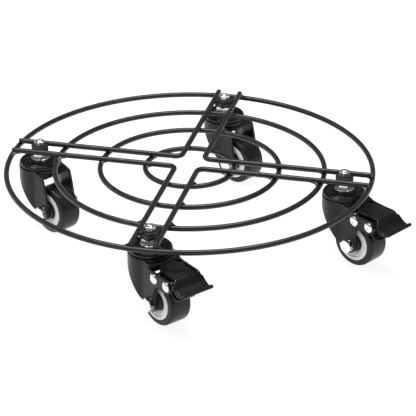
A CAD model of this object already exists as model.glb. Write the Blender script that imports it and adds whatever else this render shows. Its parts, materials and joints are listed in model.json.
import json
import math

import bmesh
import bpy
import numpy as np
from mathutils import Matrix, Vector


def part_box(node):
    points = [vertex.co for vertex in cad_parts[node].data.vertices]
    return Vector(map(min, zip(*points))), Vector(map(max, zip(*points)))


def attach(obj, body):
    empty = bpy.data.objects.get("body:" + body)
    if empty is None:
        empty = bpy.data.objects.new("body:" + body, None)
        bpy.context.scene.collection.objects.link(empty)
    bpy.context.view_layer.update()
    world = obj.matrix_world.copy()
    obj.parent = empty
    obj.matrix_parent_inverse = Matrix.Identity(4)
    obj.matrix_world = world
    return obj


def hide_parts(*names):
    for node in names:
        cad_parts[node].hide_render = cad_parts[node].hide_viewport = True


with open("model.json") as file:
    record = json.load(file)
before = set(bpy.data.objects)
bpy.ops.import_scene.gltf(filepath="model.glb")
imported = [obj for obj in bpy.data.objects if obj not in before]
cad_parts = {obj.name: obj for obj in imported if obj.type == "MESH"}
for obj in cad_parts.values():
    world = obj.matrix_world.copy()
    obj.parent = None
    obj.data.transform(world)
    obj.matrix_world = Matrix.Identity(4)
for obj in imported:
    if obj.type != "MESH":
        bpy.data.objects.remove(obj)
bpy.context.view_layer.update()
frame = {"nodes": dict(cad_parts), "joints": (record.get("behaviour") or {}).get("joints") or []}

# The looks of a round wire plant pot caddy. Shapes are written in millimetres in a local frame
# (deck, arm, caster or axle) and put in place with that frame's matrix, which comes from the CAD's
# joints. In a caster's frame t is the trail distance behind the swivel axis and z is the height
# above the floor.

MM = 0.001
SIDES = ["right", "back", "left", "front"]
BRAKED = ["right", "front"]
JOINTS = {joint["name"]: joint for joint in frame["joints"]}
UP = Vector((0, 0, 1))
ON_AXIS = 0.001  # a radius that stands for a point on the axis
TINY = 1e-9
DOME_REACH = 0.35  # a wire end's dome, as a part of its radius
WIRE_STEPS = 24  # points round a wire


# ---- placing ----

DECK = Matrix.Identity(4)


def frame_matrix(origin, x, y, z):
    """A local frame from its origin in metres and its three axes."""
    m = Matrix((x, y, z)).transposed().to_4x4()
    m.translation = origin
    return m


def arm_matrix(side):
    """Stem's foot on the floor, +X outwards along the arm."""
    stem = Vector(JOINTS[f"swivel_turn_{side}"]["pos_m"])
    out = Vector((stem.x, stem.y, 0)).normalized()
    return frame_matrix(Vector((stem.x, stem.y, 0)), out, UP.cross(out), UP)


def caster_matrix(side):
    """Swivel axis on Z, wheel trailing along +X."""
    stem = Vector(JOINTS[f"swivel_turn_{side}"]["pos_m"])
    y = Vector(JOINTS[f"wheel_spin_{side}"]["axis"]).normalized()
    return frame_matrix(Vector((stem.x, stem.y, 0)), y.cross(UP), y, UP)


def axle_matrix(side):
    """Axle on Z, pointing to the caster's -Y side; +X trails and +Y is up."""
    base = caster_matrix(side)
    x, y, z = (base.to_3x3().col[i].copy() for i in range(3))
    centre = base @ Vector((TRAIL * MM, 0, AXLE_Z * MM))
    return frame_matrix(centre, x, z, -y)


# ---- sizes read from the frame, in millimetres ----

def span(node, axis):
    """Lowest and highest place of a CAD node along an axis."""
    low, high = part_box(node)
    return low[axis] / MM, high[axis] / MM


def extent(node, axis):
    """A CAD node's size along an axis."""
    low, high = span(node, axis)
    return high - low


def ring_size(node):
    """Centre-line radius, wire radius and height of a ring."""
    low, high = span(node, 2)
    wire = (high - low) / 2
    return extent(node, 0) / 2 - wire, wire, (low + high) / 2


def pin_place(joint):
    """(t, z) of a brake joint's axis, to 0.01 mm."""
    place = caster_matrix("right").inverted() @ Vector(JOINTS[joint]["pos_m"])
    return round(place.x / MM, 2), round(place.z / MM, 2)


RINGS = {name: ring_size(name) for name in ["ring_outer", "ring_second", "ring_third", "ring_inner"]}
OUTER_R, WIRE_R, RING_Z = RINGS["ring_outer"]
RAIL_Z = sum(span("cross_wire_right_back", 2)) / 2
RAIL_Y = span("cross_wire_right_back", 1)[0] + WIRE_R
RAIL_END = span("cross_wire_right_back", 0)[1]
PLATE_LOW, PLATE_TOP = span("mounting_plate_right", 2)
PLATE_L = extent("mounting_plate_right", 0)
PLATE_W = extent("mounting_plate_right", 1)
STEM_TOP = span("stem_right", 2)[1]
STEM_R = JOINTS["swivel_turn_right"]["pos_m"][0] / MM
NUT_TOP = span("stem_nuts", 2)[1]
CAP_LOW = span("swivel_cap_right", 2)[0]
CAP_R = extent("swivel_cap_right", 0) / 2
AXLE = Vector(JOINTS["wheel_spin_right"]["pos_m"]) / MM
TRAIL = (AXLE - Vector((STEM_R, 0, AXLE.z))).length
AXLE_Z = AXLE.z
WHEEL_R = extent("tread_right", 2) / 2
TRIM_R = extent("trim_rings_right", 2) / 2
SHOE_PIN = pin_place("shoe_close_right")
PEDAL_PIN = pin_place("brake_press_right")

# Sizes that no node's box gives.
BEND_R = 6.0  # the cross wires' bend
CROWN_R = 17.8  # the fork's round top, and its height above the floor
CROWN_Z = 54.3
LEG_Y = 15.3  # half width over the fork's legs
FORK_SHEET = 2.0
PEDAL_SHEET = 1.4
THIN_SHEET = 1.3  # the shoe and the apron between the legs
TRIM_HOLE_R = TRIM_R - 4.5


# ---- outlines ----

def round_corners(points, radius, steps=4, closed=True):
    """A 2-D outline with each corner replaced by an arc. radius is one value or one per corner."""
    nearly_straight = math.radians(88)
    share = 0.48  # the most of a side that one corner takes
    out = []
    n = len(points)
    for i in range(n):
        p = Vector(points[i])
        r = radius[i] if isinstance(radius, (list, tuple)) else radius
        if r <= 0 or (not closed and i in (0, n - 1)):
            out.append(tuple(p))
            continue
        a = Vector(points[i - 1]) - p
        b = Vector(points[(i + 1) % n]) - p
        half = a.angle(b) / 2
        if half > nearly_straight:
            out.append(tuple(p))
            continue
        reach = min(r / math.tan(half), share * a.length, share * b.length)
        r = reach * math.tan(half)
        a.normalize()
        b.normalize()
        centre = p + (a + b).normalized() * (r / math.sin(half))
        start = p + a * reach - centre
        end = p + b * reach - centre
        sweep = start.angle_signed(end)
        for k in range(steps + 1):
            turn = -sweep * k / steps
            c, s = math.cos(turn), math.sin(turn)
            out.append((centre.x + start.x * c - start.y * s, centre.y + start.x * s + start.y * c))
    return out


def rounded(corners, steps=4, closed=True):
    """An outline from (x, y, corner radius) triples."""
    points = [(x, y) for x, y, _ in corners]
    return round_corners(points, [radius for _, _, radius in corners], steps, closed)


def both_sides(points):
    """(radius, z) points followed by their mirror images below z = 0."""
    return points + [(r, -z) for r, z in points[::-1]]


def resample(points, count):
    """count points evenly spaced along an open polyline."""
    pts = np.array(points, float)
    step = np.hypot(*np.diff(pts, axis=0).T)
    at = np.concatenate([[0], np.cumsum(step)])
    want = np.linspace(0, at[-1], count)
    return [tuple(np.interp(w, at, pts[:, k]) for k in range(pts.shape[1])) for w in want]


def arc(cx, cy, r, start, end, steps):
    """Points along an arc between two angles in degrees."""
    angles = np.radians(np.linspace(start, end, steps + 1))
    return [(cx + r * math.cos(a), cy + r * math.sin(a)) for a in angles]


def curve_at(points, t):
    """The value at t of a polyline of (t, value) points."""
    return float(np.interp(t, *zip(*points)))


# ---- shapes: each is (verts, faces) in millimetres ----

def grid_faces(rows, cols, wrap_rows=False, wrap_cols=False):
    """Four-sided faces between the points of a grid, which may close on itself either way."""
    faces = []
    for i in range(rows if wrap_rows else rows - 1):
        for j in range(cols if wrap_cols else cols - 1):
            a, b = i * cols, (i + 1) % rows * cols
            k = (j + 1) % cols
            faces.append((a + j, a + k, b + k, b + j))
    return faces


def join_shapes(*shapes):
    """Several shapes as one."""
    verts, faces = [], []
    for some_verts, some_faces in shapes:
        base = len(verts)
        verts += [tuple(v) for v in some_verts]
        faces += [tuple(base + i for i in face) for face in some_faces]
    return verts, faces


def moved(shape, matrix):
    """A shape carried by a matrix."""
    return [tuple(matrix @ Vector(v)) for v in shape[0]], shape[1]


def turned(shape, degrees, axis="Z"):
    """A shape turned round one of its frame's axes."""
    return moved(shape, Matrix.Rotation(math.radians(degrees), 4, axis))


def lathe(profile, steps=96):
    """A closed (r, z) outline turned round Z."""
    verts = []
    for i in range(steps):
        a = 2 * math.pi * i / steps
        verts += [(r * math.cos(a), r * math.sin(a), z) for r, z in profile]
    return verts, grid_faces(steps, len(profile), True, True)


def prism(outline, z0, z1):
    """An outline in XY carried from z0 to z1."""
    n = len(outline)
    verts = [(x, y, z0) for x, y in outline] + [(x, y, z1) for x, y in outline]
    faces = [tuple(range(n))[::-1], tuple(range(n, 2 * n))]
    faces += [(i, (i + 1) % n, n + (i + 1) % n, n + i) for i in range(n)]
    return verts, faces


def unit(vectors):
    """A grid of vectors, each one brought to length 1."""
    return vectors / np.maximum(np.linalg.norm(vectors, axis=2, keepdims=True), TINY)


def shell(points, rows, cols, thickness):
    """A pressed sheet: the grid is one face, the other lies behind it, and the edge is rounded."""
    proud = 0.35  # how far the rounded edge stands past the grid's edge
    fullness = 0.6  # 1 makes the edge an ellipse, and less makes it squarer
    steps = 6
    p = np.array(points, float).reshape(rows, cols, 3)
    u, v = np.gradient(p, axis=0), np.gradient(p, axis=1)
    n = unit(np.cross(u, v))
    u, v = unit(u), unit(v)
    inner = p - n * thickness
    loop = [(0, j) for j in range(cols)] + [(i, cols - 1) for i in range(1, rows)]
    loop += [(rows - 1, j) for j in range(cols - 2, -1, -1)] + [(i, 0) for i in range(rows - 2, 0, -1)]
    verts = [tuple(q) for q in p.reshape(-1, 3)] + [tuple(q) for q in inner.reshape(-1, 3)]
    half = rows * cols
    faces = grid_faces(rows, cols)
    faces += [tuple(half + k for k in face[::-1]) for face in grid_faces(rows, cols)]
    rim = []
    for i, j in loop:
        out = np.zeros(3)
        out += {0: -u[i, j], rows - 1: u[i, j]}.get(i, 0)
        out += {0: -v[i, j], cols - 1: v[i, j]}.get(j, 0)
        out /= max(np.linalg.norm(out), TINY)
        strip = [i * cols + j]
        for k in range(1, steps):
            a = math.pi * k / steps
            swell = out * proud * math.sin(a) ** fullness
            strip.append(len(verts))
            verts.append(tuple(p[i, j] + swell - n[i, j] * thickness * (1 - math.cos(a)) / 2))
        strip.append(half + i * cols + j)
        rim.append(strip)
    for a, b in zip(rim, rim[1:] + rim[:1]):
        faces += [(a[k], a[k + 1], b[k + 1], b[k]) for k in range(steps)]
    return verts, faces


def tube(path, radius, steps=20, closed=False):
    """A round wire along a path of points on level ground, with domed ends."""
    dome_rings = 5
    pts = [Vector(p) for p in path]
    n = len(pts)
    rings = []
    for i, p in enumerate(pts):
        ahead = pts[(i + 1) % n] if closed or i < n - 1 else p
        behind = pts[i - 1] if closed or i > 0 else p
        rings.append((p, (ahead - behind).normalized(), radius))
    if not closed:
        dome = [math.pi / 2 * k / dome_rings for k in range(1, dome_rings + 1)]
        start, way, _ = rings[0]
        head = [(start - way * radius * DOME_REACH * math.sin(a), way, radius * math.cos(a)) for a in dome]
        end, way, _ = rings[-1]
        tail = [(end + way * radius * DOME_REACH * math.sin(a), way, radius * math.cos(a)) for a in dome]
        rings = head[::-1] + rings + tail
    verts = []
    for p, way, r in rings:
        side = way.cross(UP).normalized()
        r = max(r, ON_AXIS)
        for j in range(steps):
            a = 2 * math.pi * j / steps
            verts.append(tuple(p + side * (r * math.cos(a)) + UP * (r * math.sin(a))))
    return verts, grid_faces(len(rings), steps, closed, True)


def hex_block(across_flats, z0, z1, bore=ON_AXIS, chamfer_low=True):
    """A hexagon with its corners turned down on a lathe at z1, and at z0 if chamfer_low, and a bore."""
    steps = 72
    half = across_flats / 2
    chamfer_r = half * 0.965
    face_r = chamfer_r * 0.985
    side_inset = 0.999  # with bore_edge, extra rows of points that keep the shading crisp
    bore_edge = 0.02
    slope = math.tan(math.radians(30))
    angles = [2 * math.pi * i / steps for i in range(steps)]
    full = [half / math.cos((a + math.pi / 6) % (math.pi / 3) - math.pi / 6) for a in angles]
    side = [r * side_inset for r in full]
    drop = [(r - chamfer_r) * slope for r in full]
    low = [z0 + d for d in drop] if chamfer_low else [z0] * steps
    high = [z1 - d for d in drop]
    side_low = [a * 0.9 + b * 0.1 for a, b in zip(low, high)]
    side_high = [a * 0.1 + b * 0.9 for a, b in zip(low, high)]
    bottom, top = [z0] * steps, [z1] * steps
    hole, hole_edge, face = [bore] * steps, [bore + bore_edge] * steps, [face_r] * steps
    rows = [(hole, bottom), (hole_edge, bottom), (face, bottom), (full, low), (side, side_low),
            (side, side_high), (full, high), (face, top), (hole_edge, top), (hole, top)]
    verts = []
    for radii, heights in rows:
        verts += [(r * math.cos(a), r * math.sin(a), h) for a, r, h in zip(angles, radii, heights)]
    return verts, grid_faces(len(rows), steps, True, True)


# ---- pieces ----

def close_up(piece):
    """Welds doubled points and turns every face outwards."""
    doubled = 0.002 * MM
    bm = bmesh.new()
    bm.from_mesh(piece.data)
    bmesh.ops.remove_doubles(bm, verts=bm.verts, dist=doubled)
    bmesh.ops.recalc_face_normals(bm, faces=bm.faces)
    bm.to_mesh(piece.data)
    bm.free()


def make_piece(name, shape, matrix, material, body, replaces):
    """A mesh piece from a shape in a local frame, on a body and in place of the CAD nodes it replaces."""
    verts, faces = shape
    mesh = bpy.data.meshes.new(name)
    placed = [matrix @ (Vector(v) * MM) for v in verts]
    mesh.from_pydata(placed, [], faces)
    mesh.validate()
    piece = bpy.data.objects.new(name, mesh)
    bpy.context.scene.collection.objects.link(piece)
    close_up(piece)
    mesh.polygons.foreach_set("use_smooth", [True] * len(mesh.polygons))
    mesh.materials.append(material)
    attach(piece, body)
    if replaces:
        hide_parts(*replaces)
    return piece


def soften_edges(piece, width, angle):
    """Rounds edges that turn by more than an angle in degrees, with real geometry."""
    bevel = piece.modifiers.new("edges", "BEVEL")
    bevel.width = width * MM
    bevel.segments = 3
    bevel.limit_method = "ANGLE"
    bevel.angle_limit = math.radians(angle)
    depsgraph = bpy.context.evaluated_depsgraph_get()
    mesh = bpy.data.meshes.new_from_object(piece.evaluated_get(depsgraph))
    piece.modifiers.clear()
    piece.data = mesh


def sharpen(piece, degrees=40):
    """Shades edges that turn by more than an angle as sharp."""
    piece.data.set_sharp_from_angle(angle=math.radians(degrees))


# ---- materials ----

class Nodes:
    """A material's node tree with short ways to add noise, ramps and bumps."""

    def __init__(self, name):
        self.material = bpy.data.materials.new(name)
        self.material.use_nodes = True
        self.tree = self.material.node_tree
        self.shader = self.tree.nodes["Principled BSDF"]
        self.place = self.tree.nodes.new("ShaderNodeTexCoord").outputs["Object"]

    def link(self, a, b):
        self.tree.links.new(a, b)

    def set(self, **values):
        """Constants on the shader's own sockets."""
        for key, value in values.items():
            self.shader.inputs[key.replace("_", " ")].default_value = value

    def noise(self, scale, detail=3.0, roughness=0.5, stretch=None):
        node = self.tree.nodes.new("ShaderNodeTexNoise")
        node.inputs["Scale"].default_value = scale
        node.inputs["Detail"].default_value = detail
        node.inputs["Roughness"].default_value = roughness
        source = self.place
        if stretch:
            mapping = self.tree.nodes.new("ShaderNodeMapping")
            mapping.inputs["Scale"].default_value = stretch
            self.link(self.place, mapping.inputs["Vector"])
            source = mapping.outputs["Vector"]
        self.link(source, node.inputs["Vector"])
        return node.outputs["Fac"]

    def remap(self, value, band, low, high):
        """Carries the band of a value on to the range from low to high."""
        node = self.tree.nodes.new("ShaderNodeMapRange")
        for key, number in zip(["From Min", "From Max", "To Min", "To Max"], [*band, low, high]):
            node.inputs[key].default_value = number
        self.link(value, node.inputs["Value"])
        return node.outputs["Result"]

    def colour(self, value, first, second):
        """Base colour that runs from first to second as value goes from 0 to 1."""
        node = self.tree.nodes.new("ShaderNodeMix")
        node.data_type = "RGBA"
        node.inputs["A"].default_value = (*first, 1)
        node.inputs["B"].default_value = (*second, 1)
        self.link(value, node.inputs["Factor"])
        self.link(node.outputs["Result"], self.shader.inputs["Base Color"])

    def roughness(self, noise, low, high, band=(0.3, 0.7)):
        """Roughness that drifts between low and high."""
        self.link(self.remap(noise, band, low, high), self.shader.inputs["Roughness"])

    def bump(self, height, strength, distance, after=None):
        """Relief from a height, distance in metres, on top of an earlier relief if there is one."""
        node = self.tree.nodes.new("ShaderNodeBump")
        node.inputs["Strength"].default_value = strength
        node.inputs["Distance"].default_value = distance
        self.link(height, node.inputs["Height"])
        if after:
            self.link(after, node.inputs["Normal"])
        self.link(node.outputs["Normal"], self.shader.inputs["Normal"])
        return node.outputs["Normal"]


def powder_coat():
    """Satin black powder coat: fine orange peel, a little dust and rubbed high spots."""
    m = Nodes("powder_coat")
    m.set(Specular_IOR_Level=0.5)
    dust = m.remap(m.noise(90, detail=5), (0.4, 0.7), 0, 1)
    m.colour(dust, (0.007, 0.0072, 0.007), (0.014, 0.0145, 0.014))
    m.roughness(m.noise(260, detail=4), 0.3, 0.42)
    fine = m.bump(m.noise(2600, detail=2), strength=0.18, distance=0.00006)
    m.bump(m.noise(700, detail=2), strength=0.16, distance=0.0001, after=fine)
    return m.material


def black_enamel():
    """Glossy black e-coat over pressed steel, with faint waviness and fine marks."""
    m = Nodes("black_enamel")
    m.set(Specular_IOR_Level=0.12)
    dust = m.remap(m.noise(60, detail=4), (0.4, 0.7), 0, 1)
    m.colour(dust, (0.004, 0.004, 0.004), (0.009, 0.009, 0.0088))
    m.roughness(m.noise(180, detail=5, roughness=0.6), 0.38, 0.5, band=(0.3, 0.75))
    m.set(Coat_Weight=0.42, Coat_Roughness=0.1)
    fine = m.bump(m.noise(1800, detail=2), strength=0.04, distance=0.00005)
    m.bump(m.noise(110, detail=2), strength=0.12, distance=0.0003, after=fine)
    return m.material


def zinc():
    """Bright zinc plate: silvery, slightly cloudy, with fine tool marks."""
    m = Nodes("zinc")
    m.set(Metallic=1.0)
    cloud = m.remap(m.noise(240, detail=4), (0.35, 0.7), 0, 1)
    m.colour(cloud, (0.84, 0.85, 0.86), (0.95, 0.95, 0.95))
    m.roughness(m.noise(600, detail=4), 0.16, 0.28)
    fine = m.bump(m.noise(2200, detail=2, stretch=(1, 1, 4)), strength=0.012, distance=0.00005)
    m.bump(m.noise(300, detail=2), strength=0.02, distance=0.0001, after=fine)
    return m.material


def spring_steel():
    """Dark blued strip steel."""
    m = Nodes("spring_steel")
    m.set(Metallic=1.0)
    cloud = m.remap(m.noise(200, detail=4), (0.35, 0.7), 0, 1)
    m.colour(cloud, (0.045, 0.045, 0.046), (0.1, 0.1, 0.1))
    m.roughness(m.noise(500, detail=4), 0.26, 0.42)
    m.bump(m.noise(1500, detail=2), strength=0.12, distance=0.00006)
    return m.material


def rubber():
    """Satin black tread: moulded skin with light scuffs and dust."""
    m = Nodes("tread_rubber")
    m.set(Specular_IOR_Level=0.16)
    scuffs = m.remap(m.noise(120, detail=6, roughness=0.65), (0.45, 0.75), 0, 1)
    m.colour(scuffs, (0.008, 0.008, 0.008), (0.02, 0.02, 0.0195))
    m.roughness(m.noise(300, detail=5), 0.34, 0.5)
    m.set(Coat_Weight=0.25, Coat_Roughness=0.14)
    fine = m.bump(m.noise(2400, detail=3), strength=0.1, distance=0.00008)
    m.bump(m.noise(160, detail=3), strength=0.08, distance=0.0002, after=fine)
    return m.material


def moulded_black():
    """Matte black nylon core."""
    m = Nodes("moulded_black")
    m.colour(m.noise(300, detail=4), (0.008, 0.008, 0.008), (0.016, 0.016, 0.016))
    m.roughness(m.noise(500, detail=3), 0.4, 0.55)
    m.bump(m.noise(2600, detail=2), strength=0.2, distance=0.00006)
    return m.material


def white_plastic():
    """Glossy white trim with faint yellowing and dust."""
    m = Nodes("white_plastic")
    m.set(Specular_IOR_Level=0.5)
    ageing = m.remap(m.noise(140, detail=4), (0.35, 0.75), 0, 1)
    m.colour(ageing, (0.86, 0.86, 0.86), (0.76, 0.76, 0.75))
    m.roughness(m.noise(400, detail=3), 0.2, 0.34)
    m.bump(m.noise(1200, detail=2), strength=0.08, distance=0.00005)
    return m.material


POWDER = powder_coat()
ENAMEL = black_enamel()
ZINC = zinc()
STEEL = spring_steel()
RUBBER = rubber()
CORE = moulded_black()
WHITE = white_plastic()


# ---- deck ----

def build_ring(node):
    """A closed ring of wire."""
    radius, wire, z = RINGS[node]
    count = 256
    clearance = 0.03  # keeps the wire's facets inside the CAD box
    angles = [2 * math.pi * i / count for i in range(count)]
    path = [(radius * math.cos(a), radius * math.sin(a), z) for a in angles]
    make_piece(f"{node}_wire", tube(path, wire - clearance, WIRE_STEPS, True), DECK, POWDER, "deck",
               [node])


def build_cross_wire(node, quarter):
    """An L of wire: out along one arm and back along the next."""
    corner = RAIL_Y + BEND_R
    leg = np.linspace(RAIL_END - WIRE_R * DOME_REACH, corner + 0.5, 40)
    bend = arc(corner, corner, BEND_R, 270, 180, 16)
    plan = [(x, RAIL_Y) for x in leg] + bend + [(RAIL_Y, y) for y in leg[::-1]]
    path = [(x, y, RAIL_Z) for x, y in plan]
    place = Matrix.Rotation(math.pi / 2 * quarter, 4, "Z")
    make_piece(f"{node}_wire", tube(path, WIRE_R, WIRE_STEPS), place, POWDER, "deck",
               [node])


def web_shape(corner, along, across, reach):
    """A web of weld between a rail and a ring. Its hollow free edge sinks from the rail to the ring."""
    steps = 12
    root = 0.8
    low_depth, low_sink = 1.9, 0.5
    high_depth, high_sink = 0.3, 0.7
    a, b = Vector(along).normalized(), Vector(across).normalized()
    heart = corner - a * root - b * root
    low, high = [], []
    for k in range(steps + 1):
        turn = math.pi / 2 * k / steps
        edge = corner + a * (reach * (1 - math.sin(turn))) + b * (reach * (1 - math.cos(turn)))
        down = (1 - math.cos(turn)) * (RAIL_Z - RING_Z)
        low.append((edge.x, edge.y, RAIL_Z - low_depth - down * low_sink))
        high.append((edge.x, edge.y, RAIL_Z - high_depth - down * high_sink))
    n = steps + 1
    verts = low + high + [(heart.x, heart.y, RING_Z), (heart.x, heart.y, RAIL_Z)]
    faces = [(k, k + 1, n + k + 1, n + k) for k in range(steps)]
    faces += [(2 * n, k + 1, k) for k in range(steps)]
    faces += [(2 * n + 1, n + k, n + k + 1) for k in range(steps)]
    faces += [(2 * n, 0, n, 2 * n + 1), (2 * n, 2 * n + 1, 2 * n - 1, n - 1)]
    return verts, faces


def build_welds():
    """Weld webs on the outer side of each rail, just inside every ring."""
    big_reach, small_reach = 6.8, 4.8
    bite = 0.6  # how far a web goes into the wires, as a part of their radius
    inward = Vector((-1, 0))
    shapes = []
    for radius, wire, _ in RINGS.values():
        reach = big_reach if radius > OUTER_R / 2 else small_reach
        x = math.sqrt(radius ** 2 - RAIL_Y ** 2)
        for quarter in range(4):
            for side in (-1, 1):
                tangent = Vector((-RAIL_Y / radius, x / radius * side))
                corner = Vector((x, side * RAIL_Y)) + inward * wire * bite + tangent * wire * bite
                shapes.append(turned(web_shape(corner, inward, tangent, reach), 90 * quarter))
    welds = make_piece("weld_webs", join_shapes(*shapes), DECK, POWDER, "deck", ())
    soften_edges(welds, 0.5, 40)


def build_plate(side):
    """A block between the rails: a round boss for the stem that flares to the wires."""
    flare = 1.45
    half_wave = 5.6  # from the boss's middle to the waist beside it
    mean_reach = PLATE_L / 2 - 1.65
    across = np.linspace(-PLATE_W / 2, PLATE_W / 2, 29)
    reach = mean_reach + flare * np.cos(np.pi * across / half_wave)
    outline = list(zip(reach, across)) + list(zip(-reach[::-1], across[::-1]))
    block = prism(outline, PLATE_LOW, PLATE_TOP)
    plate = make_piece(f"plate_{side}", block, arm_matrix(side), POWDER, "deck", [f"mounting_plate_{side}"])
    soften_edges(plate, 0.9, 50)


def build_stem(side):
    """Nut, threaded end, hex collar and flange, with the kingpin below."""
    place = arm_matrix(side)
    nut_flats, collar_flats = 8.0, 12.0
    crest_r, root_r, pitch = 2.5, 2.15, 0.8
    nut = hex_block(nut_flats, PLATE_TOP, NUT_TOP, bore=crest_r - 0.1)
    make_piece(f"stem_nut_{side}", nut, place, ZINC, "deck", ["stem_nuts"])

    thread = []
    thread_end = STEM_TOP - 0.9
    z = PLATE_LOW
    while z < thread_end:
        thread += [(crest_r, z), (crest_r, z + pitch * 0.2)]
        thread += [(root_r, z + pitch * 0.5), (root_r, z + pitch * 0.7)]
        z += pitch
    tip = [(2.1, STEM_TOP - 0.5), (1.6, STEM_TOP), (0.0, STEM_TOP)]

    pin_r = 4.0
    head_r, head_low, head_top = 6.5, 48.4, 50.2
    flange_r, flange_low, flange_top = 7.5, 59.0, 60.2
    head = [(head_r, head_low), (head_r, head_top), (pin_r, head_top)]
    flange = [(pin_r, flange_low), (flange_r, flange_low), (flange_r, flange_top), (pin_r, flange_top)]
    profile = [(0.0, head_low)] + round_corners(head, 0.5, 3, False) + [(pin_r, flange_low)]
    profile += round_corners(flange, 0.4, 3, False) + [(pin_r, PLATE_LOW)] + thread + tip
    collar = turned(hex_block(collar_flats, flange_top - 0.1, PLATE_LOW, bore=pin_r - 0.1), 30)
    stem = make_piece(f"stem_{side}_turned", join_shapes(lathe(profile), collar), place, ZINC, "deck",
                      [f"stem_{side}"])
    sharpen(stem)


def build_cap(side):
    """Dished cup with ring grooves round the collar and a turned-down rim.

    Its points are (radius, height above the rim's edge, corner radius).
    """
    bore_r = 4.05
    top = [(bore_r, 4.15, 0), (9.3, 4.15, 0.7), (10.2, 2.2, 0.4), (11.2, 2.2, 0.3), (11.8, 2.9, 0.3),
           (12.8, 2.9, 0.3), (13.4, 2.2, 0.3), (14.4, 2.2, 0.4), (15.0, 3.4, 0.6), (16.3, 3.3, 0.6)]
    rim = [(CAP_R, 2.0, 0.7), (CAP_R, 0, 0.3), (CAP_R - 1.3, 0, 0.3), (CAP_R - 1.4, 1.2, 0.4)]
    under = [(14.6, 1.2, 0.4), (13.6, 0.5, 0.3), (8, 0.4, 0.4), (7.2, 2.8, 0.5), (bore_r, 2.8, 0)]
    outline = [(r, CAP_LOW + height, corner) for r, height, corner in top + rim + under]
    cap = make_piece(f"cap_{side}", lathe(rounded(outline, 5)), arm_matrix(side), ENAMEL, "deck",
                     [f"swivel_cap_{side}"])
    sharpen(cap, 60)


# ---- fork ----

# Where a flat leg starts, along its lower and its upper edge.
LEG_LOW_T = 11.0
LEG_HIGH_T = 12.2
# (t, z) points of the fork's lower edge ahead of the axle.
FRONT_EDGE = [(-CROWN_R, 47.9), (-13, 45.8), (-9.2, 42.3), (7.2, 21.5), (13, 17.2)]


def outer_y(t):
    """Half width over the fork's outer faces: the crown's circle, blending into flat legs."""
    blend = 0.45
    crown = math.sqrt(max(CROWN_R ** 2 - t * t, 0))
    if t < 0:
        return crown
    return LEG_Y + blend * math.log1p(math.exp((crown - LEG_Y) / blend))


def leg_ribs(braked):
    """(lower edge, upper edge) pairs from the start of the flat leg to its rear end, seen from the side."""
    count = 46
    hub_r, ear_low_r, ear_top_r = 6.3, 5.8, 5.1
    lower = [(LEG_LOW_T, 18.7), (13, 17.2)] + arc(TRAIL, AXLE_Z, hub_r, 222, 372, 20)
    if braked:
        lower += [(24.9, 30), (25.6, 34.4), (27.6, 36.6), (30.5, 37.2), (36.5, 37.3)]
        lower += arc(*PEDAL_PIN, ear_low_r, 262, 350, 10)
        upper = [(LEG_HIGH_T, 52.4), (16, 50.6), (19, 49.4), (24, 48.7), (32, 48.3)]
        upper += arc(*PEDAL_PIN, ear_top_r, 92, 12, 10)
    else:
        lower += [(25.0, 25.0)]
        upper = [(LEG_HIGH_T, 52.6), (18.6, 50.6), (20.2, 49.6), (20.9, 47.4), (23, 38.9), (24.7, 29.5)]
    return list(zip(resample(lower, count), resample(upper, count)))


def fork_sheet(braked):
    """The bent sheet's outer face as a grid: near leg, round front, far leg."""
    rows = 26
    shoulder = 7.0  # from here back the top edge sinks by droop for each millimetre
    droop = 0.35
    top = CROWN_Z - 0.5
    half = []
    for a in np.linspace(0, 90, 25):
        t = -CROWN_R * math.cos(math.radians(a))
        half.append(((t, curve_at(FRONT_EDGE, t)), (t, top)))
    bend = list(np.linspace(0, shoulder, 7)[1:]) + list(np.linspace(shoulder, LEG_LOW_T, 15)[1:-1])
    for t in bend:
        high = top - droop * max(t - shoulder, 0)
        half.append(((t, curve_at(FRONT_EDGE, t)), (t * LEG_HIGH_T / LEG_LOW_T, high)))
    half += leg_ribs(braked)
    ribs = [(low, high, -1) for low, high in half[::-1]] + [(low, high, 1) for low, high in half[1:]]
    verts = []
    for low, high, side in ribs:
        for k in range(rows):
            f = k / (rows - 1)
            t = low[0] * (1 - f) + high[0] * f
            z = low[1] * (1 - f) + high[1] * f
            verts.append((t, side * outer_y(t), z))
    return shell(verts, len(ribs), rows, -FORK_SHEET)


def crown_shape():
    """The fork's round top, with a groove for the balls."""
    bore_r = 4.06
    rim = CROWN_R - 0.3
    low = CROWN_Z - 4.7
    top = [(bore_r, 52.8, 0), (9, 52.8, 0.2), (9.6, 51.8, 0.3), (14, 51.8, 0.4), (14.4, CROWN_Z, 0.3)]
    outside = [(rim, CROWN_Z, 0.8), (rim, low + 0.4, 0.3)]
    under = [(16.4, low, 0.3), (9.4, low, 0.4), (8.8, 50.8, 0.3), (bore_r, 50.8, 0)]
    return lathe(rounded(top + outside + under))


def apron_shape(braked):
    """The crown's sheet running back between the legs, bent down ahead of a brake."""
    along, across = 18, 13
    line = [(13.2, 52.6), (19.7, 50.4)]
    if braked:
        line = round_corners([(13.2, 52.1), (17.4, 51.1), (18.7, 49.6), (18.7, 46.2)], 1.2, 5, False)
    half = LEG_Y - 0.9
    verts = [(t, y, z) for t, z in resample(line, along) for y in np.linspace(-half, half, across)]
    return shell(verts, along, across, THIN_SHEET)


def build_fork(side):
    """The bent sheet, its round crown and the apron between its legs."""
    braked = side in BRAKED
    place = caster_matrix(side)
    body = f"swivel_{side}"
    fork = make_piece(f"fork_{side}_shell", fork_sheet(braked), place, ENAMEL, body, [f"fork_{side}"])
    sharpen(fork, 60)
    crown = make_piece(f"fork_{side}_crown", crown_shape(), place, ENAMEL, body, ())
    sharpen(crown, 60)
    make_piece(f"fork_{side}_apron", apron_shape(braked), place, ENAMEL, body, ())


# ---- wheel ----

WHEEL_STEPS = 128  # points round the tyre and the trim


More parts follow.
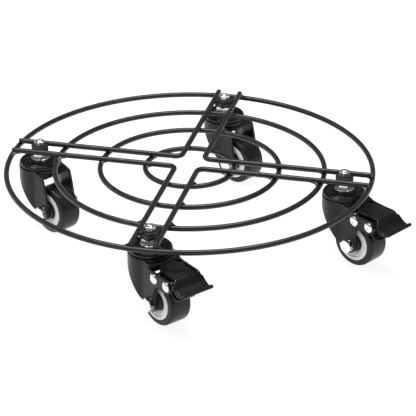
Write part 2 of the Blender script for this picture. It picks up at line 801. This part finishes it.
def build_tread(side):
    """A tyre with well rounded shoulders."""
    half_width = 9.4
    shoulder_r = 4.4
    half = [(TRIM_R - 0.4, 0.3 - half_width, 0.3), (TRIM_R + 0.9, -half_width, 0.5),
            (WHEEL_R, -half_width, shoulder_r)]
    other_half = [(r, -y, corner) for r, y, corner in half[::-1]]
    tyre = lathe(rounded(half + other_half, 9), WHEEL_STEPS)
    make_piece(f"tread_{side}_tyre", tyre, axle_matrix(side), RUBBER, f"wheel_{side}",
               [f"tread_{side}"])


def build_core(side):
    """Hub boss, thin web and the rim that carries the tread."""
    bush_r, boss_r = 4.5, 7.0
    boss_y, rim_y, web_y = 12.0, 9.0, 4.0
    half = [(bush_r, boss_y), (boss_r, boss_y), (boss_r + 0.3, web_y), (TRIM_HOLE_R - 2.4, web_y),
            (TRIM_HOLE_R - 2.2, 7.4), (TRIM_HOLE_R + 0.5, rim_y), (TRIM_R - 0.05, rim_y)]
    core = lathe(round_corners(both_sides(half), 0.5))
    make_piece(f"core_{side}", core, axle_matrix(side), CORE, f"wheel_{side}", [f"wheel_core_{side}"])


def build_trim(side):
    """A white ring on each side: grooved face, and a skirt sloping in to the hub."""
    face = 10.4
    hole = TRIM_HOLE_R
    skirt = hole - 2.6
    outline = [(skirt, face - 3.0, 0.1), (hole + 0.4, face - 1.4, 0.1), (TRIM_R, face - 1.4, 0.1),
               (TRIM_R, face - 0.4, 0.3), (TRIM_R - 0.7, face, 0.4), (hole + 1.9, face, 0.25),
               (hole + 1.5, face - 0.9, 0.2), (hole + 1.0, face - 1.0, 0.2), (hole + 0.2, face - 0.7, 0.6),
               (skirt, face - 2.4, 0.2)]
    ring = lathe(rounded(outline), WHEEL_STEPS)
    make_piece(f"trim_{side}", join_shapes(ring, turned(ring, 180, "X")), axle_matrix(side), WHITE,
               f"wheel_{side}", [f"trim_rings_{side}"])


def build_axle(side):
    """Hex bolt with a washer face under its head, and its nut on the far leg."""
    place = axle_matrix(side)
    body = f"swivel_{side}"
    flats = 10
    head_turn, nut_turn = 20, 5
    bolt_r, washer_bore_r, washer_r = 3.0, 3.2, 5.2
    head_top, shank_top = LEG_Y + 4, LEG_Y + 0.5
    washer_low, washer_top = LEG_Y - 0.05, LEG_Y + 0.4
    nut_end, bolt_end = -LEG_Y - 4.8, -LEG_Y - 5.6
    head = turned(hex_block(flats, LEG_Y, head_top, chamfer_low=False), head_turn)
    washer_outline = [(washer_bore_r, washer_low), (washer_r, washer_low),
                      (washer_r, washer_top), (washer_bore_r, washer_top)]
    washer = lathe(round_corners(washer_outline, 0.15, 2))
    shank = lathe(rounded([(ON_AXIS, bolt_end, 0), (bolt_r, bolt_end, 0.8), (bolt_r, shank_top, 0),
                           (ON_AXIS, shank_top, 0)]), 48)
    bolt = make_piece(f"axle_bolt_{side}_hex", join_shapes(head, washer, shank), place, ZINC, body,
                      [f"axle_bolt_{side}"])
    sharpen(bolt)
    nut = turned(hex_block(flats, nut_end, -LEG_Y, bore=bolt_r - 0.1), nut_turn)
    sharpen(make_piece(f"axle_nut_{side}_hex", nut, place, ZINC, body, [f"axle_nut_{side}"]))


# ---- brake ----

# The pedal along its length, as (t, value) points: the height of its top, half its width, and the height
# of its side flanges' lower edge.
PEDAL_START, PEDAL_END = 19.7, 58.3
PEDAL_TOP = [(PEDAL_START, 50.95), (24, 50.5), (43.8, 49.8), (44.8, 49.2), (46.6, 47.4), (49.4, 44.4),
             (52.6, 42.3), (55.2, 41.8), (57.0, 42.4), (58.2, 42.6)]
PEDAL_HALF = [(PEDAL_START, 5.2), (20.6, 7.2), (22.2, 8.8), (24.4, 9.8), (27, 10.3), (43.4, 10.3),
              (44.8, 11.6), (46.6, 14.3), (49, 14.8), (59, 14.8)]
PEDAL_LOW = [(PEDAL_START, 49.4), (29.5, 48.4), (33.5, 43.8), (35.6, 40.6), (39, 38.9), (42.2, 40.4),
             (44.8, 43.8), (46.6, 44.4), (49, 42.0), (51.6, 40.2), (54, 39.8), (56, 40.4), (59, 41.2)]
PEDAL_RIBS = (33.8, 39.8)


def on_pin(shape, pin, degrees=90):
    """A lathed shape laid across the caster, its axis on a pin."""
    t, z = pin
    return moved(shape, Matrix.Translation((t, 0, z)) @ Matrix.Rotation(math.radians(degrees), 4, "X"))


def build_rivets(side):
    """Two rivets through the ears, each with a low domed head on both sides."""
    pin_r, head_r, dimple_r = 2.5, 4.05, 1.4
    foot = LEG_Y - 0.1
    top = foot + 1.2
    head = rounded([(pin_r, foot, 0.1), (head_r, foot, 0.3), (head_r, foot + 0.6, 0.7),
                    (head_r - 1.2, top, 0.6), (dimple_r, top, 0.3)], closed=False)
    dimple = [(dimple_r - 0.4, top - 0.25), (ON_AXIS, top - 0.25)]
    half = lathe([(ON_AXIS, 0.0), (pin_r, 0.0)] + head + dimple, 64)
    shapes = [on_pin(half, pin, degrees) for pin in (SHOE_PIN, PEDAL_PIN) for degrees in (90, 270)]
    rivets = make_piece(f"rivets_{side}", join_shapes(*shapes), caster_matrix(side), ZINC, f"swivel_{side}",
                        [f"brake_rivets_{side}"])
    sharpen(rivets)


def build_shoe(side):
    """A curved strip behind the tread, from its eye on the front rivet down to a curled tail."""
    place = caster_matrix(side)
    along, across = 34, 17
    tail_steps = 20
    half_width = 8.5
    gap = 4.1
    line = arc(TRAIL, AXLE_Z, WHEEL_R + gap, 80, 30, 24)
    end_t, end_z = line[-1]
    curl = [(1.6, -0.8), (3.6, -0.9), (5.5, -0.1), (6.8, 1.1)]
    line += [(end_t + back, end_z + up) for back, up in curl]
    verts = []
    for k, (t, z) in enumerate(resample(line, along)):
        tail = max(0, k - (along - 1 - tail_steps)) / tail_steps
        half = half_width * math.sqrt(1 - 0.7 * tail ** 8)
        verts += [(t, y, z) for y in np.linspace(-half, half, across)]
    make_piece(f"shoe_{side}", shell(verts, along, across, THIN_SHEET), place, STEEL, f"shoe_{side}",
               [f"brake_shoe_{side}"])
    eye_r, bore_r, eye_y = 3.5, 2.56, 12.8
    section = [(bore_r, -eye_y), (eye_r, -eye_y), (eye_r, eye_y), (bore_r, eye_y)]
    eye = lathe(round_corners(section, 0.3, 3), 40)
    make_piece(f"shoe_{side}_eye", on_pin(eye, SHOE_PIN), place, STEEL, f"shoe_{side}", ())


def pedal_rib(t):
    """Height of the pressed ribs, each with a faint groove on either side, on the pedal's middle line."""
    height, width = 0.8, 0.95
    groove, groove_width = 0.35, 1.9
    return sum(height * math.exp(-((t - middle) / width) ** 4)
               - groove * math.exp(-((t - middle) / groove_width) ** 4) for middle in PEDAL_RIBS)


def pedal_shape():
    """The pressed pedal: a sheet over the top and down both flanges, with two pressed ribs."""
    bend_r = 1.3
    bend_angles = np.radians([0, 22, 45, 67, 90])
    rib_reach = 5.8
    across_points = 26
    stations = np.arange(PEDAL_START, PEDAL_END, 0.4)
    verts = []
    for t in stations:
        top, half, low = (curve_at(curve, t) for curve in (PEDAL_TOP, PEDAL_HALF, PEDAL_LOW))
        depth = max(top - low, bend_r * 0.6)
        if depth > bend_r * 1.6:
            flange = [top - bend_r - (depth - bend_r) * f for f in (0.66, 0.33)]
        else:
            flange = [top - depth * f for f in (0.9, 0.8)]
        r = min(bend_r, depth * 0.7)
        bend = [(-half + r - r * math.cos(a), top - r + r * math.sin(a)) for a in bend_angles]
        near = [(-half, top - depth)] + [(-half, z) for z in flange] + bend
        across = np.linspace(-half + r, half - r, across_points)[1:-1]
        rib = pedal_rib(t)
        middle = [(y, top + rib * math.exp(-(y / rib_reach) ** 8)) for y in across]
        far = [(-y, z) for y, z in near[::-1]]
        verts += [(t, y, z) for y, z in near + middle + far]
    return shell(verts, len(stations), len(verts) // len(stations), PEDAL_SHEET)


def build_pedal(side):
    """The pedal and the rolled lip on its foot."""
    place = caster_matrix(side)
    make_piece(f"pedal_{side}", pedal_shape(), place, ENAMEL, f"pedal_{side}", [f"brake_pedal_{side}"])
    lip_t, lip_z, lip_y, lip_r = 57.9, 41.9, 14.2, 1.5
    lip = tube([(lip_t, y, lip_z) for y in np.linspace(-lip_y, lip_y, 20)], lip_r)
    make_piece(f"pedal_{side}_lip", lip, place, ENAMEL, f"pedal_{side}", ())


def paint(node_name, look):
    """A look for a CAD node that is shown as it is."""
    node = frame["nodes"][node_name]
    node.data.materials.clear()
    node.data.materials.append(look)


for ring in RINGS:
    build_ring(ring)
for quarter, arms in enumerate(["right_back", "back_left", "left_front", "front_right"]):
    build_cross_wire(f"cross_wire_{arms}", quarter)
build_welds()
for side in SIDES:
    build_plate(side)
    build_stem(side)
    build_cap(side)
    build_fork(side)
    build_axle(side)
    build_tread(side)
    build_core(side)
    build_trim(side)
    if side in BRAKED:
        build_rivets(side)
        build_shoe(side)
        build_pedal(side)
    paint(f"swivel_balls_{side}", ZINC)
    paint(f"axle_bush_{side}", STEEL)


# ---- studio, in metres and watts ----

# Name, place, target, (width, depth) and power.
LIGHTS = [
    ("overhead", (0.0, 0.1, 1.5), (0, 0, 0), (1.4, 0.5), 26),
    ("front_left", (-0.9, -1.0, 1.7), (0, 0, 0.05), (0.8, 0.6), 8),
    ("left", (-1.7, 0.25, 0.45), (0, 0, 0.05), (0.9, 0.8), 2),
]
FLOOR_HALF = 6.0
FLOOR_GREY = (0.2, 0.2, 0.2, 1)
FLOOR_GLOW = 0.9
WORLD_GREY = (0.2, 0.2, 0.2, 1)
WHITE_LIGHT = (1, 1, 1, 1)
CAMERA_PLACE = Vector((0.3461, -1.4139, 0.7579))
CAMERA_AIM = Vector((-0.20353, 0.87013, -0.44886))
SENSOR_MM = 36
LENS_MM = 169.9


def add_floor():
    """A pale floor that glows a little, so that it stays almost white."""
    s = FLOOR_HALF
    mesh = bpy.data.meshes.new("floor")
    mesh.from_pydata([(-s, -s, 0), (s, -s, 0), (s, s, 0), (-s, s, 0)], [], [(0, 1, 2, 3)])
    floor = bpy.data.objects.new("floor", mesh)
    bpy.context.scene.collection.objects.link(floor)
    m = Nodes("pale_floor")
    m.set(Base_Color=FLOOR_GREY, Roughness=0.9, Specular_IOR_Level=0.1,
          Emission_Color=WHITE_LIGHT, Emission_Strength=FLOOR_GLOW)
    mesh.materials.append(m.material)


def add_light(name, place, target, size, power):
    """A soft rectangular light aimed at a target."""
    data = bpy.data.lights.new(name, "AREA")
    data.shape = "RECTANGLE"
    data.size, data.size_y = size
    data.energy = power
    light = bpy.data.objects.new(name, data)
    bpy.context.scene.collection.objects.link(light)
    light.location = place
    light.rotation_mode = "QUATERNION"
    light.rotation_quaternion = (Vector(target) - Vector(place)).to_track_quat("-Z", "Y")


def add_world():
    """Dim grey light all round, and a white background for the camera."""
    world = bpy.data.worlds.new("studio")
    world.use_nodes = True
    tree = world.node_tree
    path = tree.nodes.new("ShaderNodeLightPath")
    mix = tree.nodes.new("ShaderNodeMix")
    mix.data_type = "RGBA"
    mix.inputs["A"].default_value = WORLD_GREY
    mix.inputs["B"].default_value = WHITE_LIGHT
    tree.links.new(path.outputs["Is Camera Ray"], mix.inputs["Factor"])
    tree.links.new(mix.outputs["Result"], tree.nodes["Background"].inputs["Color"])
    bpy.context.scene.world = world


def add_camera():
    """The photograph's camera, fitted to the four rings."""
    data = bpy.data.cameras.new("camera")
    data.sensor_width = SENSOR_MM
    data.lens = LENS_MM
    camera = bpy.data.objects.new("camera", data)
    bpy.context.scene.collection.objects.link(camera)
    forward = CAMERA_AIM.normalized()
    right = forward.cross(UP).normalized()
    up = right.cross(forward).normalized()
    camera.matrix_world = frame_matrix(CAMERA_PLACE, right, up, -forward)
    bpy.context.scene.camera = camera


add_floor()
add_world()
for light in LIGHTS:
    add_light(*light)
add_camera()
bpy.context.scene.view_settings.view_transform = "Standard"
